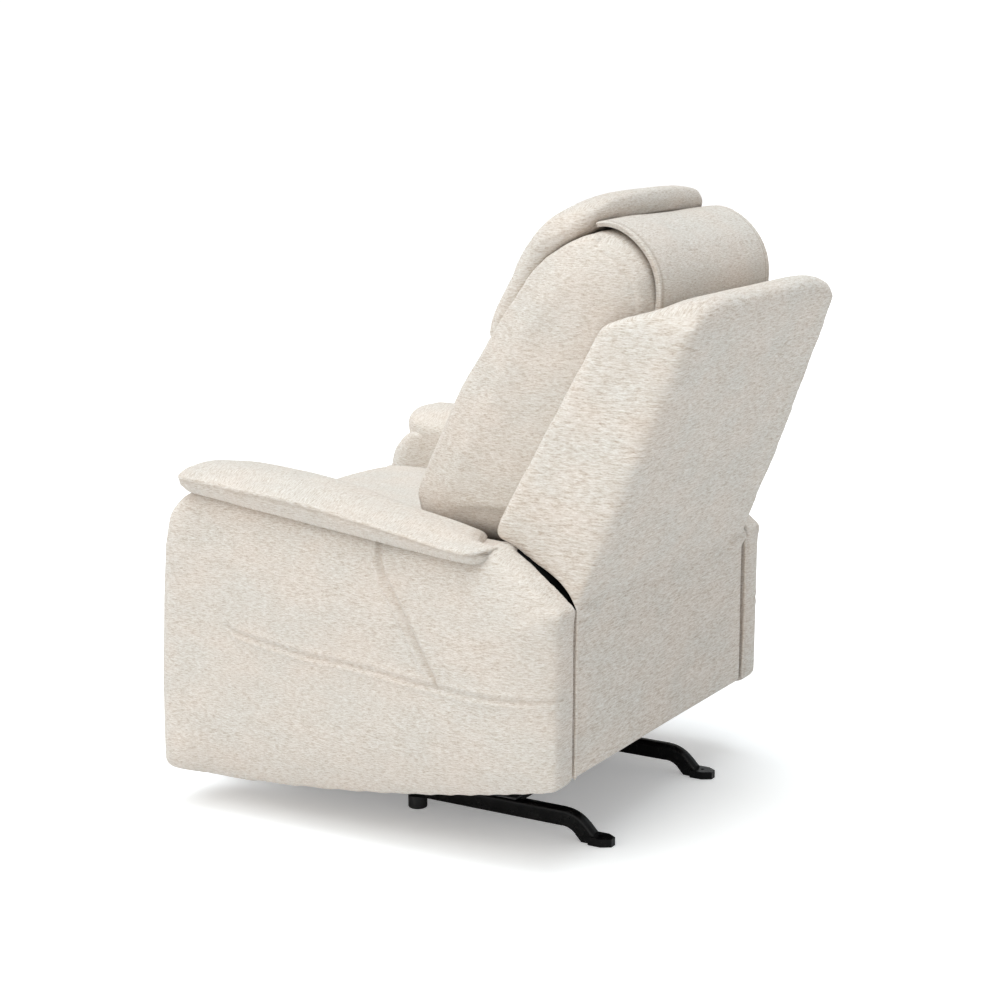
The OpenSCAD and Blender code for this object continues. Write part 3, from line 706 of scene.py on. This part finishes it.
def pad_section(y):
    """Points round the pad at one Y: inner skirt, flat underside, outer band, crown."""
    top, welt, bottom = (at(line, y) for line in (PAD_TOP, PAD_WELT, PAD_BOTTOM))
    front_in = quarter(max(0.0, (-0.315 - y) / 0.110))
    front_out = quarter(max(0.0, (-0.386 - y) / 0.039))
    rear = quarter(max(0.0, (y - 0.154) / 0.030))
    # Beside the wing the pad keeps to the outer half of the arm
    beside = step(y, 0.105, 0.138)
    inner = 0.2655 + 0.078 * (1 - front_in) + 0.073 * beside + 0.012 * (1 - rear)
    outer = 0.436 - 0.052 * (1 - front_out) - 0.046 * (1 - rear)
    skirt = step(y, -0.418, -0.340) * step(-y, -0.12, -0.02)
    low = bottom + (0.492 - bottom) * skirt
    thick = 0.012
    under_out = outer - 0.023 * min(front_out, rear)
    line = [(inner, low), (inner + thick, low), (inner + thick + 0.004, bottom), (under_out, bottom)]
    section = [resample(line[0:2], 4)[:-1], resample(line[1:3], 9)[:-1], resample(line[2:4], 20)[:-1],
               resample([line[3], (outer, welt)], 5)[:-1]]
    u = np.linspace(0, 1, 40)
    x = outer + (inner - outer) * (0.5 - 0.5 * np.cos(math.pi * u))
    share = np.abs(2 * (x - inner) / (outer - inner) - 1)
    crown = (1 - share ** 2.6) ** (1 / 2.2)
    slope = np.clip(((inner + outer) / 2 - x) / (outer - inner), 0, 0.5) * 2
    z = welt + (top - welt) * crown - 0.013 * slope ** 2 * min(front_in, front_out)
    section.append(np.column_stack([x, z])[:-1])
    section.append(resample([(x[-1], z[-1]), (inner, low)], 14)[:-1])
    ring = np.vstack(section)
    return np.column_stack([ring[:, 0], np.full(len(ring), y), ring[:, 1]])


def make_pad():
    front = PAD_FRONT + np.array([0.0003, 0.0012, 0.003, 0.0055, 0.009, 0.0135, 0.019])
    rear = PAD_REAR - np.array([0.022, 0.017, 0.013, 0.0095, 0.0065, 0.004, 0.002, 0.0006])
    stations = np.r_[front, np.linspace(-0.400, 0.156, 90), rear]
    rings = [pad_section(y) for y in stations]
    cols = len(rings[0])
    verts = np.vstack(rings)
    faces = grid_faces(len(rings), cols)
    faces += [list(range(cols))[::-1], list(range((len(rings) - 1) * cols, len(rings) * cols))]
    obj = new_object("arm_pad_cover_left", verts, faces)
    welt = 3 + 8 + 19 + 4
    row = np.arange(len(verts)) % cols
    held = (row <= welt) | (row >= cols - 12)
    puff(obj, 0.006, held)
    return obj, verts[row == welt]


pad_left, pad_welt = make_pad()
co = coords(pad_left)
wave = 0.0012 * ripple(co, 26, 11) + 0.0008 * ripple(co, 60, 12)
put(pad_left, co + normals(pad_left) * (wave * ease(co[:, 2], 0.53, 0.57))[:, None])
subdivide(pad_left)
groove(pad_left, pad_welt, 0.0022, 0.004, lip=0.6)
pad_right = mirrored(pad_left, "arm_pad_cover_right")
finish_cloth(pad_left, shaded_seams=[(pad_welt, 0.0035)])
finish_cloth(pad_right, shaded_seams=[(pad_welt * (-1, 1, 1), 0.0035)])
for obj, side in ((pad_left, "left"), (pad_right, "right")):
    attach(obj, "chassis")
    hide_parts(f"arm_pad_{side}")


# ---- Seat ----

def make_seat():
    outline = ([(0.045, 0.388), (0.048, 0.484), (-0.10, 0.492), (-0.30, 0.497), (-0.385, 0.496)]
               + arc(-0.424, 0.462, 0.032, 60, 180, 8) + [(-0.456, 0.452), (-0.430, 0.448), (-0.430, 0.388)])
    obj = together("seat_cushion_cover", prism(outline, -0.255, 0.255))
    voxel(obj, FINE)
    smooth(obj, 5)
    co = coords(obj)
    puff(obj, 0.022, co[:, 2] < 0.41)
    co = coords(obj)
    co[:, 0] = np.clip(co[:, 0], -SEAT_HALF, SEAT_HALF)
    crown = (1 - (np.abs(co[:, 0]) / 0.27) ** 2.4) * ease(co[:, 2], 0.42, 0.49)
    co[:, 2] += 0.008 * crown
    co[:, 1] = np.maximum(co[:, 1], -0.470)
    co[:, 2] = np.maximum(co[:, 2], 0.3855)
    put(obj, co)
    smooth(obj, 2)
    subdivide(obj)
    return obj


seat = make_seat()
finish_cloth(seat)
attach(seat, "chassis")
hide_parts("seat_cushion")


# ---- Back pillow ----

def on_back(d, s):
    """Side point at depth d and height s of the outside back's own frame."""
    return (CREASE[0] + s * math.sin(LEAN) - d * math.cos(LEAN),
            CREASE[1] + s * math.cos(LEAN) + d * math.sin(LEAN))


PILLOW_REAR = [(0.06, 0.506), (0.23, 0.506), on_back(0.080, 0.06), on_back(0.080, 0.22), on_back(0.084, 0.36),
               (0.378, 0.895), (0.379, 0.925), (0.376, 0.952), (0.368, 0.975), (0.355, 0.994), (0.339, 1.010)]
PILLOW_FOOT = [(-0.052, 0.538), (-0.032, 0.517), (0.000, 0.508)]
PILLOW = curve(PILLOW_REAR
               + [(0.320, 1.023), (0.297, 1.031), (0.270, 1.027), (0.240, 1.008), (0.211, 0.985), (0.186, 0.961),
                  (0.165, 0.931), (0.149, 0.897), (0.136, 0.858), (0.112, 0.822), (0.086, 0.802), (0.052, 0.783),
                  (0.030, 0.745), (0.004, 0.697), (-0.026, 0.640), (-0.048, 0.594), (-0.056, 0.565)]
               + PILLOW_FOOT, 170, closed=True)
# Beyond the headrest's ends the pillow's sides stand further forward, round it
CHEEK_FRONT = [(0.297, 1.029), (0.262, 1.024), (0.232, 1.011), (0.200, 0.992), (0.170, 0.968), (0.138, 0.925),
               (0.109, 0.884), (0.074, 0.832), (0.040, 0.781), (0.012, 0.729), (-0.020, 0.659), (-0.046, 0.600),
               (-0.057, 0.566)]
SIDE_LINE = curve(PILLOW_REAR + [(0.320, 1.021)] + CHEEK_FRONT + PILLOW_FOOT, 170, closed=True)
# Half widths: the flat part of the face, the cheeks' two faces and the fullest part of the sides
PILLOW_FLAT, CHEEK_IN, CHEEK_OUT, PILLOW_WIDE = 0.214, 0.229, 0.241, 0.2610


def bulge(obj, line, flat, wide, radius):
    """Rounds the two side faces of a prism outwards from its outline to its full width."""
    co = coords(obj)
    out = normals(obj)[:, 0] * np.sign(co[:, 0]) > 0.25
    inset = distance(co[:, 1:], np.vstack([line, line[:1]]))
    t = np.clip(inset / radius, 0, 1)
    target = flat + (wide - flat) * np.sqrt(1 - (1 - t) ** 2)
    side = ease(np.abs(co[:, 0]), flat - 0.030, flat - 0.004) * out
    x = np.abs(co[:, 0])
    co[:, 0] = np.sign(co[:, 0]) * (x + side * np.maximum(0, target - np.maximum(x, flat)))
    put(obj, co)


def make_pillow():
    middle = np.array((0.15, 0.76))
    cheek = CHEEK_FRONT + [tuple(middle + 0.92 * (p - middle)) for p in SIDE_LINE[::4]
                           if p[0] > 0.30 or p[1] < 0.565 or p[1] < 0.56 + 2.2 * (p[0] - 0.12)]
    obj = together("back_cushion_cover", prism([tuple(p) for p in PILLOW], -PILLOW_FLAT, PILLOW_FLAT),
                   prism([tuple(p) for p in PILLOW if p[1] < 0.775], -CHEEK_IN, CHEEK_IN),
                   prism(cheek, CHEEK_IN - 0.020, CHEEK_OUT), prism(cheek, -CHEEK_OUT, 0.020 - CHEEK_IN))
    voxel(obj, FINE)
    smooth(obj, 4)
    bulge(obj, SIDE_LINE, PILLOW_FLAT, PILLOW_WIDE - 0.005, 0.070)
    smooth(obj, 10)
    puff(obj, 0.008, None)
    co = coords(obj)
    facing = ease(-co[:, 1] + 0.36 * (co[:, 2] - 0.5), 0.02, 0.16) * ease(-co[:, 2], -0.80, -0.74)
    across = np.clip(1 - (np.abs(co[:, 0]) / 0.262) ** 2.2, 0, 1)
    co[:, 1] -= 0.008 * facing * across
    co[:, 0] = np.clip(co[:, 0], -SEAT_HALF, SEAT_HALF)
    co[:, 2] = np.maximum(co[:, 2], 0.5015)
    put(obj, co)
    smooth(obj, 2)
    subdivide(obj)
    return obj


pillow = make_pillow()
pillow_seams = []
for side in (-1, 1):
    inner = [(-0.014, 0.560), (0.002, 0.612), (0.050, 0.700), (0.090, 0.770), (0.125, 0.822)]
    path = np.array([(side * 0.256, y, z) for y, z in curve(inner, 60)])
    groove(pillow, path, 0.0008, 0.004, lip=0.5)
    pillow_seams.append((path, 0.0012))
finish_cloth(pillow, shaded_seams=pillow_seams)
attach(pillow, "back")
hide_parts("back_cushion")


# ---- Headrest ----

HEAD = curve(arc(0.111, 0.852, 0.027, 175, 330, 8)
             + [(0.146, 0.878), (0.155, 0.906), (0.170, 0.938), (0.190, 0.966), (0.214, 0.988), (0.243, 1.010),
                (0.266, 1.025), (0.284, 1.038), (0.296, 1.051), (0.298, 1.063), (0.289, 1.072), (0.272, 1.0735),
                (0.246, 1.065), (0.216, 1.049), (0.186, 1.026), (0.158, 0.996), (0.134, 0.960), (0.111, 0.920),
                (0.092, 0.882)], 130, closed=True)
HEAD_FLAT, HEAD_WIDE = 0.216, 0.238     # half widths
HEAD_LEAN = (0.83, 0.56)         # side direction that the headrest's face runs up in


def round_ends(co):
    """Crowns the headrest's face and rounds the corners of its upper edge."""
    side = np.abs(co[:, 0])
    face = ease((co[:, 2] - 0.852) * HEAD_LEAN[0] - (co[:, 1] - 0.125) * HEAD_LEAN[1], 0.015, 0.045)
    crown = 0.0135 * (1 - np.clip(side / 0.24, 0, 1) ** 4) * face * ease(co[:, 2], 0.86, 1.00)
    back = np.interp(side, (0, 0.107, 0.167, 0.200, 0.220, 0.240), (0, 0.004, 0.013, 0.028, 0.047, 0.073))
    back *= ease(co[:, 1], 0.15, 0.28)
    co = co.copy()
    co[:, 1] -= HEAD_LEAN[1] * crown + HEAD_LEAN[0] * back
    co[:, 2] += HEAD_LEAN[0] * crown - HEAD_LEAN[1] * back
    return co


def make_head():
    obj = together("headrest_cover", prism([tuple(p) for p in HEAD], -HEAD_FLAT, HEAD_FLAT))
    voxel(obj, 0.005)
    smooth(obj, 3)
    bulge(obj, HEAD, HEAD_FLAT, HEAD_WIDE - 0.003, 0.020)
    smooth(obj, 2)
    puff(obj, 0.005, None)
    co = round_ends(coords(obj))
    co[:, 0] = np.clip(co[:, 0], -0.2415, 0.2415)
    co[:, 2] = np.minimum(co[:, 2], 1.090)
    put(obj, co)
    smooth(obj, 2)
    subdivide(obj)
    return obj


head = make_head()
head_seams = []
for side in (-1, 1):
    line = curve([(0.104, 0.838), (0.118, 0.885), (0.137, 0.928), (0.161, 0.966), (0.190, 0.998), (0.222, 1.022),
                  (0.252, 1.040), (0.276, 1.052), (0.290, 1.058)], 80)
    path = round_ends(np.column_stack([np.full(80, side * 0.238), line]))
    groove(head, path, 0.0024, 0.0035, lip=0.7)
    head_seams.append((path, 0.003))
finish_cloth(head, shaded_seams=head_seams)
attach(head, "headrest")
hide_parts("headrest_pad")


# ---- Cloth over the top of the back ----

FLAP_HALF = 0.212               # half width


def make_flap():
    line = curve([(0.275, 1.0425), (0.287, 1.0445), (0.300, 1.0440), (0.318, 1.0395), (0.337, 1.030),
                  (0.355, 1.016), (0.371, 0.998), (0.383, 0.977), (0.390, 0.955), (0.392, 0.931),
                  (0.390, 0.906), (0.384, 0.884)], 60)
    normal = np.gradient(line, axis=0)
    normal = np.column_stack([-normal[:, 1], normal[:, 0]])
    normal /= np.linalg.norm(normal, axis=1)[:, None]
    if normal[10, 1] < 0:
        normal = -normal
    xs = np.linspace(-FLAP_HALF, FLAP_HALF, 90)
    drop = 0.0025 * (np.abs(xs) / FLAP_HALF) ** 10
    top = np.array([[(x, *(p - nn * dr)) for x, dr in zip(xs, drop)] for p, nn in zip(line, normal)])
    flat = top.reshape(-1, 3)
    bump = 0.0018 * ripple(flat, 22, 31) * ease(FLAP_HALF + 0.01 - np.abs(flat[:, 0]), 0.01, 0.05)
    nn = np.repeat(normal, len(xs), axis=0)
    flat[:, 1:] += nn * bump[:, None]
    under = flat.copy()
    under[:, 1:] -= nn * 0.0075
    rows, cols = len(line), len(xs)
    obj = new_object("headrest_flap_cloth", np.vstack([flat, under]), sheet_faces(rows, cols))
    length = float(np.linalg.norm(np.diff(line, axis=0), axis=1).sum())
    return obj, length, [flat.reshape(rows, cols, 3)[:, c] for c in (0, cols - 1)]


def sheet_faces(rows, cols):
    """Faces of two grids of points, one under the other, closed round the rim."""
    count = rows * cols
    faces = grid_faces(rows, cols, closed=False)
    faces += [[i + count for i in f][::-1] for f in faces]
    rim = ([(0, c) for c in range(cols)] + [(r, cols - 1) for r in range(1, rows)]
           + [(rows - 1, c) for c in range(cols - 2, -1, -1)] + [(r, 0) for r in range(rows - 2, 0, -1)])
    ring = [r * cols + c for r, c in rim]
    return faces + [[ring[i], ring[(i + 1) % len(ring)], ring[(i + 1) % len(ring)] + count, ring[i] + count]
                    for i in range(len(ring))]


flap, flap_length, flap_edges = make_flap()
flap_seams = []
for edge in flap_edges:
    path = edge * (0.957, 1, 1)
    groove(flap, path, 0.0010, 0.0030, lip=0.4)
    flap_seams.append((path, 0.0022))
    welt = new_object("headrest_flap_welt_" + ("left" if edge[0, 0] > 0 else "right"),
                      *tube(edge * (1.003, 1, 1) - (0, 0, 0.0012), 0.0023, 10))
    finish_cloth(welt)
    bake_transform(welt)
finish_cloth(flap, shaded_seams=flap_seams)
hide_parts("headrest_flap")
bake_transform(flap)


# ---- Outside back and lower back panel ----

def make_back():
    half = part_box("back_flap")[1].x
    obj = together("outside_back_cover", node_solid("back_shell"),
                   block((-half, half), (0.279, 0.3065), (0.151, 0.47)))
    voxel(obj, 0.0075)
    co = coords(obj)
    smooth(obj, 9, 0.12 + 0.88 * ease(co[:, 2], 0.44, 0.52))
    co = coords(obj)
    n = normals(obj)
    rear = np.clip(n[:, 1], 0, 1) * ease(co[:, 2], 0.40, 0.55)
    co[:, 1] += (0.003 + 0.004 * (1 - (np.abs(co[:, 0]) / 0.33) ** 2)) * rear
    co += n * (0.0010 * ripple(co, 14, 51))[:, None]
    co[:, 0] += (0.0035 * np.clip(n[:, 0] * np.sign(co[:, 0]), 0, 1) * np.sign(co[:, 0])
                 * ease(co[:, 2], 0.46, 0.60))
    co[:, 2] -= 0.007 * ease(np.abs(co[:, 0]), 0.17, 0.29) * ease(co[:, 2], 0.86, 0.93)
    corner = ease(np.abs(co[:, 0]), 0.20, 0.28) * ease(co[:, 2], 0.50, 0.62) * ease(-co[:, 2], -0.95, -0.82)
    co[:, 1] += 0.004 * corner * np.clip(n[:, 1], 0, 1)
    co[:, 0] += 0.006 * corner * np.sign(co[:, 0]) * np.clip(n[:, 0] * np.sign(co[:, 0]), 0, 1)
    front = np.clip(-n[:, 1], 0, 1) * ease(co[:, 2], 0.53, 0.60) * (np.abs(co[:, 0]) > WING_IN)
    co[:, 1] -= 0.006 * front
    # The wings' lower edges lift clear of the arms towards the rear
    y, z = co[:, 1] - PIVOT[0], co[:, 2] - PIVOT[1]
    r = np.hypot(y, z)
    angle = np.degrees(np.arctan2(z, y))
    least = 0.2265 + 0.0215 * ease(-angle, -58, -33)
    down = np.clip(-(n[:, 1] * y + n[:, 2] * z) / np.maximum(r, 1e-6), 0, 1) * (r < 0.262)
    wing = (np.abs(co[:, 0]) > WING_IN) & (angle > 24) & (angle < 75) & (co[:, 2] > 0.42)
    grow = wing * np.maximum(0, least + 0.008 * down - r) / np.maximum(r, 1e-6)
    co[:, 1] += y * (grow - wing * 0.008 * down / np.maximum(r, 1e-6))
    co[:, 2] += z * (grow - wing * 0.008 * down / np.maximum(r, 1e-6))
    put(obj, co)
    subdivide(obj)
    return obj


back = make_back()
finish_cloth(back, CLOTH_BACK)
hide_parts("back_shell", "back_flap")
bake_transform(back)


def make_welt(side):
    """Covered cord down the edge of the lower back panel."""
    path = curve([(side * 0.3300, 0.3070, 0.156), (side * 0.3305, 0.3090, 0.25), (side * 0.3305, 0.3090, 0.34),
                  (side * 0.3295, 0.3090, 0.405), (side * 0.3270, 0.3085, 0.435)], 90)
    obj = new_object("lower_back_welt_" + ("left" if side > 0 else "right"), *tube(path, 0.0030, 10))
    finish_cloth(obj)
    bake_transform(obj)


make_welt(1)
make_welt(-1)


# ---- Black sheet in the gap between each arm and the back, as painted shade ----

def make_gap_shade_sheet(side):
    name = "left" if side > 0 else "right"
    angles = (33.9, 63.5)
    verts = []
    # Black sheet over the arm's recess under the wing: painted shade for the deep shadow in the gap
    for r in (RECESS_R + 0.0016, RECESS_R + 0.0006):
        line = [(0.2770, 0.400), (0.2770, 0.428)] + arc(*PIVOT, r, *angles, 40)
        for x in np.linspace(ARM_IN + 0.001, ARM_SPLIT - 0.001, 10):
            verts += [(side * x, y, z) for y, z in line]
    obj = new_object("arm_gap_shade_sheet_" + name, verts, sheet_faces(10, 43))
    obj.data.materials.append(GAP_SHADE_CLOTH)
    obj.data.shade_smooth()
    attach(obj, "chassis")


make_gap_shade_sheet(1)
make_gap_shade_sheet(-1)


# ---- Footrest pad ----

FOOT_HALF = 0.256


def make_footrest():
    low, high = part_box("footrest_pad")
    obj = together("footrest_cover", block((-FOOT_HALF, FOOT_HALF), (low.y + 0.006, high.y),
                                           (low.z + 0.004, high.z - 0.004)))
    voxel(obj, FINE)
    smooth(obj, 4)
    co = coords(obj)
    puff(obj, 0.012, co[:, 1] > high.y - 0.008)
    co = coords(obj)
    co[:, 1] = np.clip(co[:, 1], low.y - 0.006, high.y)
    co[:, 0] = np.clip(co[:, 0], -0.262, 0.262)
    put(obj, co)
    smooth(obj, 1)
    subdivide(obj)
    return obj


footrest = make_footrest()
low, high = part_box("footrest_pad")
channel_z = low.z + (high.z - low.z) * 0.36
channel = np.array([(x, low.y - 0.004, channel_z) for x in np.linspace(-FOOT_HALF, FOOT_HALF, 50)])
groove(footrest, channel, 0.007, 0.007, lambda c: (c[:, 1] < low.y + 0.02) * 1.0, lip=0.2)
finish_cloth(footrest, shaded_seams=[(channel, 0.005)])
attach(footrest, "footrest")
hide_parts("footrest_pad")


# ---- Finishes of the CAD parts ----

def finish_of(name):
    if name.startswith(("base_", "rear_foot")):
        return PAINT, "base_paint"
    if name in ("floor_glides", "release_cable"):
        return PLASTIC, "foot_plastic"
    if name.startswith("release_"):
        return LATCH, "latch_plastic"
    if name.startswith(("arm_frame", "seat_rail", "back_post", "back_top", "back_bottom", "footrest_board")):
        return WOOD, "plywood"
    if name == "seat_webbing":
        return WEBBING, "webbing"
    if name in ("track_bolts", "chassis_bolts", "back_pivot_pins", "rocker_springs", "drive_tube"):
        return ZINC, "zinc_steel"
    return STEEL, "mechanism_steel"


for name, obj in nodes.items():
    mat, slot = finish_of(name)
    obj.data.materials.clear()
    obj.data.materials.append(mat)


# ---- Floor, light and camera ----

def studio_white():
    """White to the camera, but greyer in the light that it throws back onto the chair."""
    m = Nodes("floor_white")
    seen = m.tree.nodes.new("ShaderNodeLightPath").outputs["Is Camera Ray"]
    tone = m.noise(m.scaled((1.5, 1.5, 1.5)), detail=2)
    near = m.ramp(tone, [(0.3, (0.93, 0.93, 0.93, 1)), (0.7, (0.934, 0.934, 0.934, 1))])
    m.wire(m.mix(seen, (0.81, 0.81, 0.81, 1), near), m.shader.inputs["Base Color"])
    # Painted light: the floor glows a little to the camera only, which lightens the chair's shadow on it
    m.wire(m.maths("MULTIPLY", seen, 0.26), m.shader.inputs["Emission Strength"])
    m.shader.inputs["Emission Color"].default_value = (1, 1, 1, 1)
    m.shader.inputs["Roughness"].default_value = 0.9
    m.shader.inputs["Specular IOR Level"].default_value = 0.1
    return m.mat


floor = new_object("studio_floor", [(-14, -14, 0), (14, -14, 0), (14, 14, 0), (-14, 14, 0)], [[0, 1, 2, 3]])
floor.location.z = -0.0004
floor.data.materials.append(studio_white())

world = bpy.data.worlds.new("studio")
scene.world = world
world.use_nodes = True
sky = world.node_tree
fill = sky.nodes["Background"]
fill.inputs["Color"].default_value = (0.955, 0.985, 1.0, 1)
fill.inputs["Strength"].default_value = 0.535
backdrop = sky.nodes.new("ShaderNodeBackground")
backdrop.inputs["Color"].default_value = (1, 1, 1, 1)
backdrop.inputs["Strength"].default_value = 1.05
seen = sky.nodes.new("ShaderNodeLightPath")
choose = sky.nodes.new("ShaderNodeMixShader")
sky.links.new(seen.outputs["Is Camera Ray"], choose.inputs["Fac"])
sky.links.new(fill.outputs["Background"], choose.inputs[1])
sky.links.new(backdrop.outputs["Background"], choose.inputs[2])
sky.links.new(choose.outputs["Shader"], sky.nodes["World Output"].inputs["Surface"])


def towards(azimuth, elevation):
    """Direction out from the chair. Azimuth runs from -Y towards +X."""
    return Vector((math.sin(azimuth) * math.cos(elevation), -math.cos(azimuth) * math.cos(elevation),
                   math.sin(elevation)))


def lamp(name, azimuth, elevation, strength, spread, colour):
    """A distant soft lamp that shines from the given side, with its angles in degrees."""
    data = bpy.data.lights.new(name, "SUN")
    data.energy = strength * math.pi
    data.angle = math.radians(spread)
    data.color = colour
    obj = bpy.data.objects.new(name, data)
    scene.collection.objects.link(obj)
    source = towards(math.radians(azimuth), math.radians(elevation))
    obj.rotation_mode = "QUATERNION"
    obj.rotation_quaternion = (-source).to_track_quat("-Z", "Y")


lamp("overhead", 60, 70, 0.44, 70, (0.93, 0.98, 1.0))
lamp("top", 60, 86, 0.30, 35, (0.86, 0.95, 1.0))
lamp("side", 80, 28, 0.25, 60, (1.0, 0.96, 0.91))

CAMERA_AT = (3.23346, 1.85851, 1.29571)
CAMERA_AZIMUTH, CAMERA_ELEVATION = math.radians(120.2146), math.radians(11.6730)

camera_data = bpy.data.cameras.new("camera")
camera_data.lens = 77.05
camera_data.sensor_width = 36
camera = bpy.data.objects.new("camera", camera_data)
scene.collection.objects.link(camera)
camera.location = CAMERA_AT
camera.rotation_mode = "QUATERNION"
camera.rotation_quaternion = (-towards(CAMERA_AZIMUTH, CAMERA_ELEVATION)).to_track_quat("-Z", "Y")
scene.camera = camera
scene.view_settings.view_transform = "Standard"
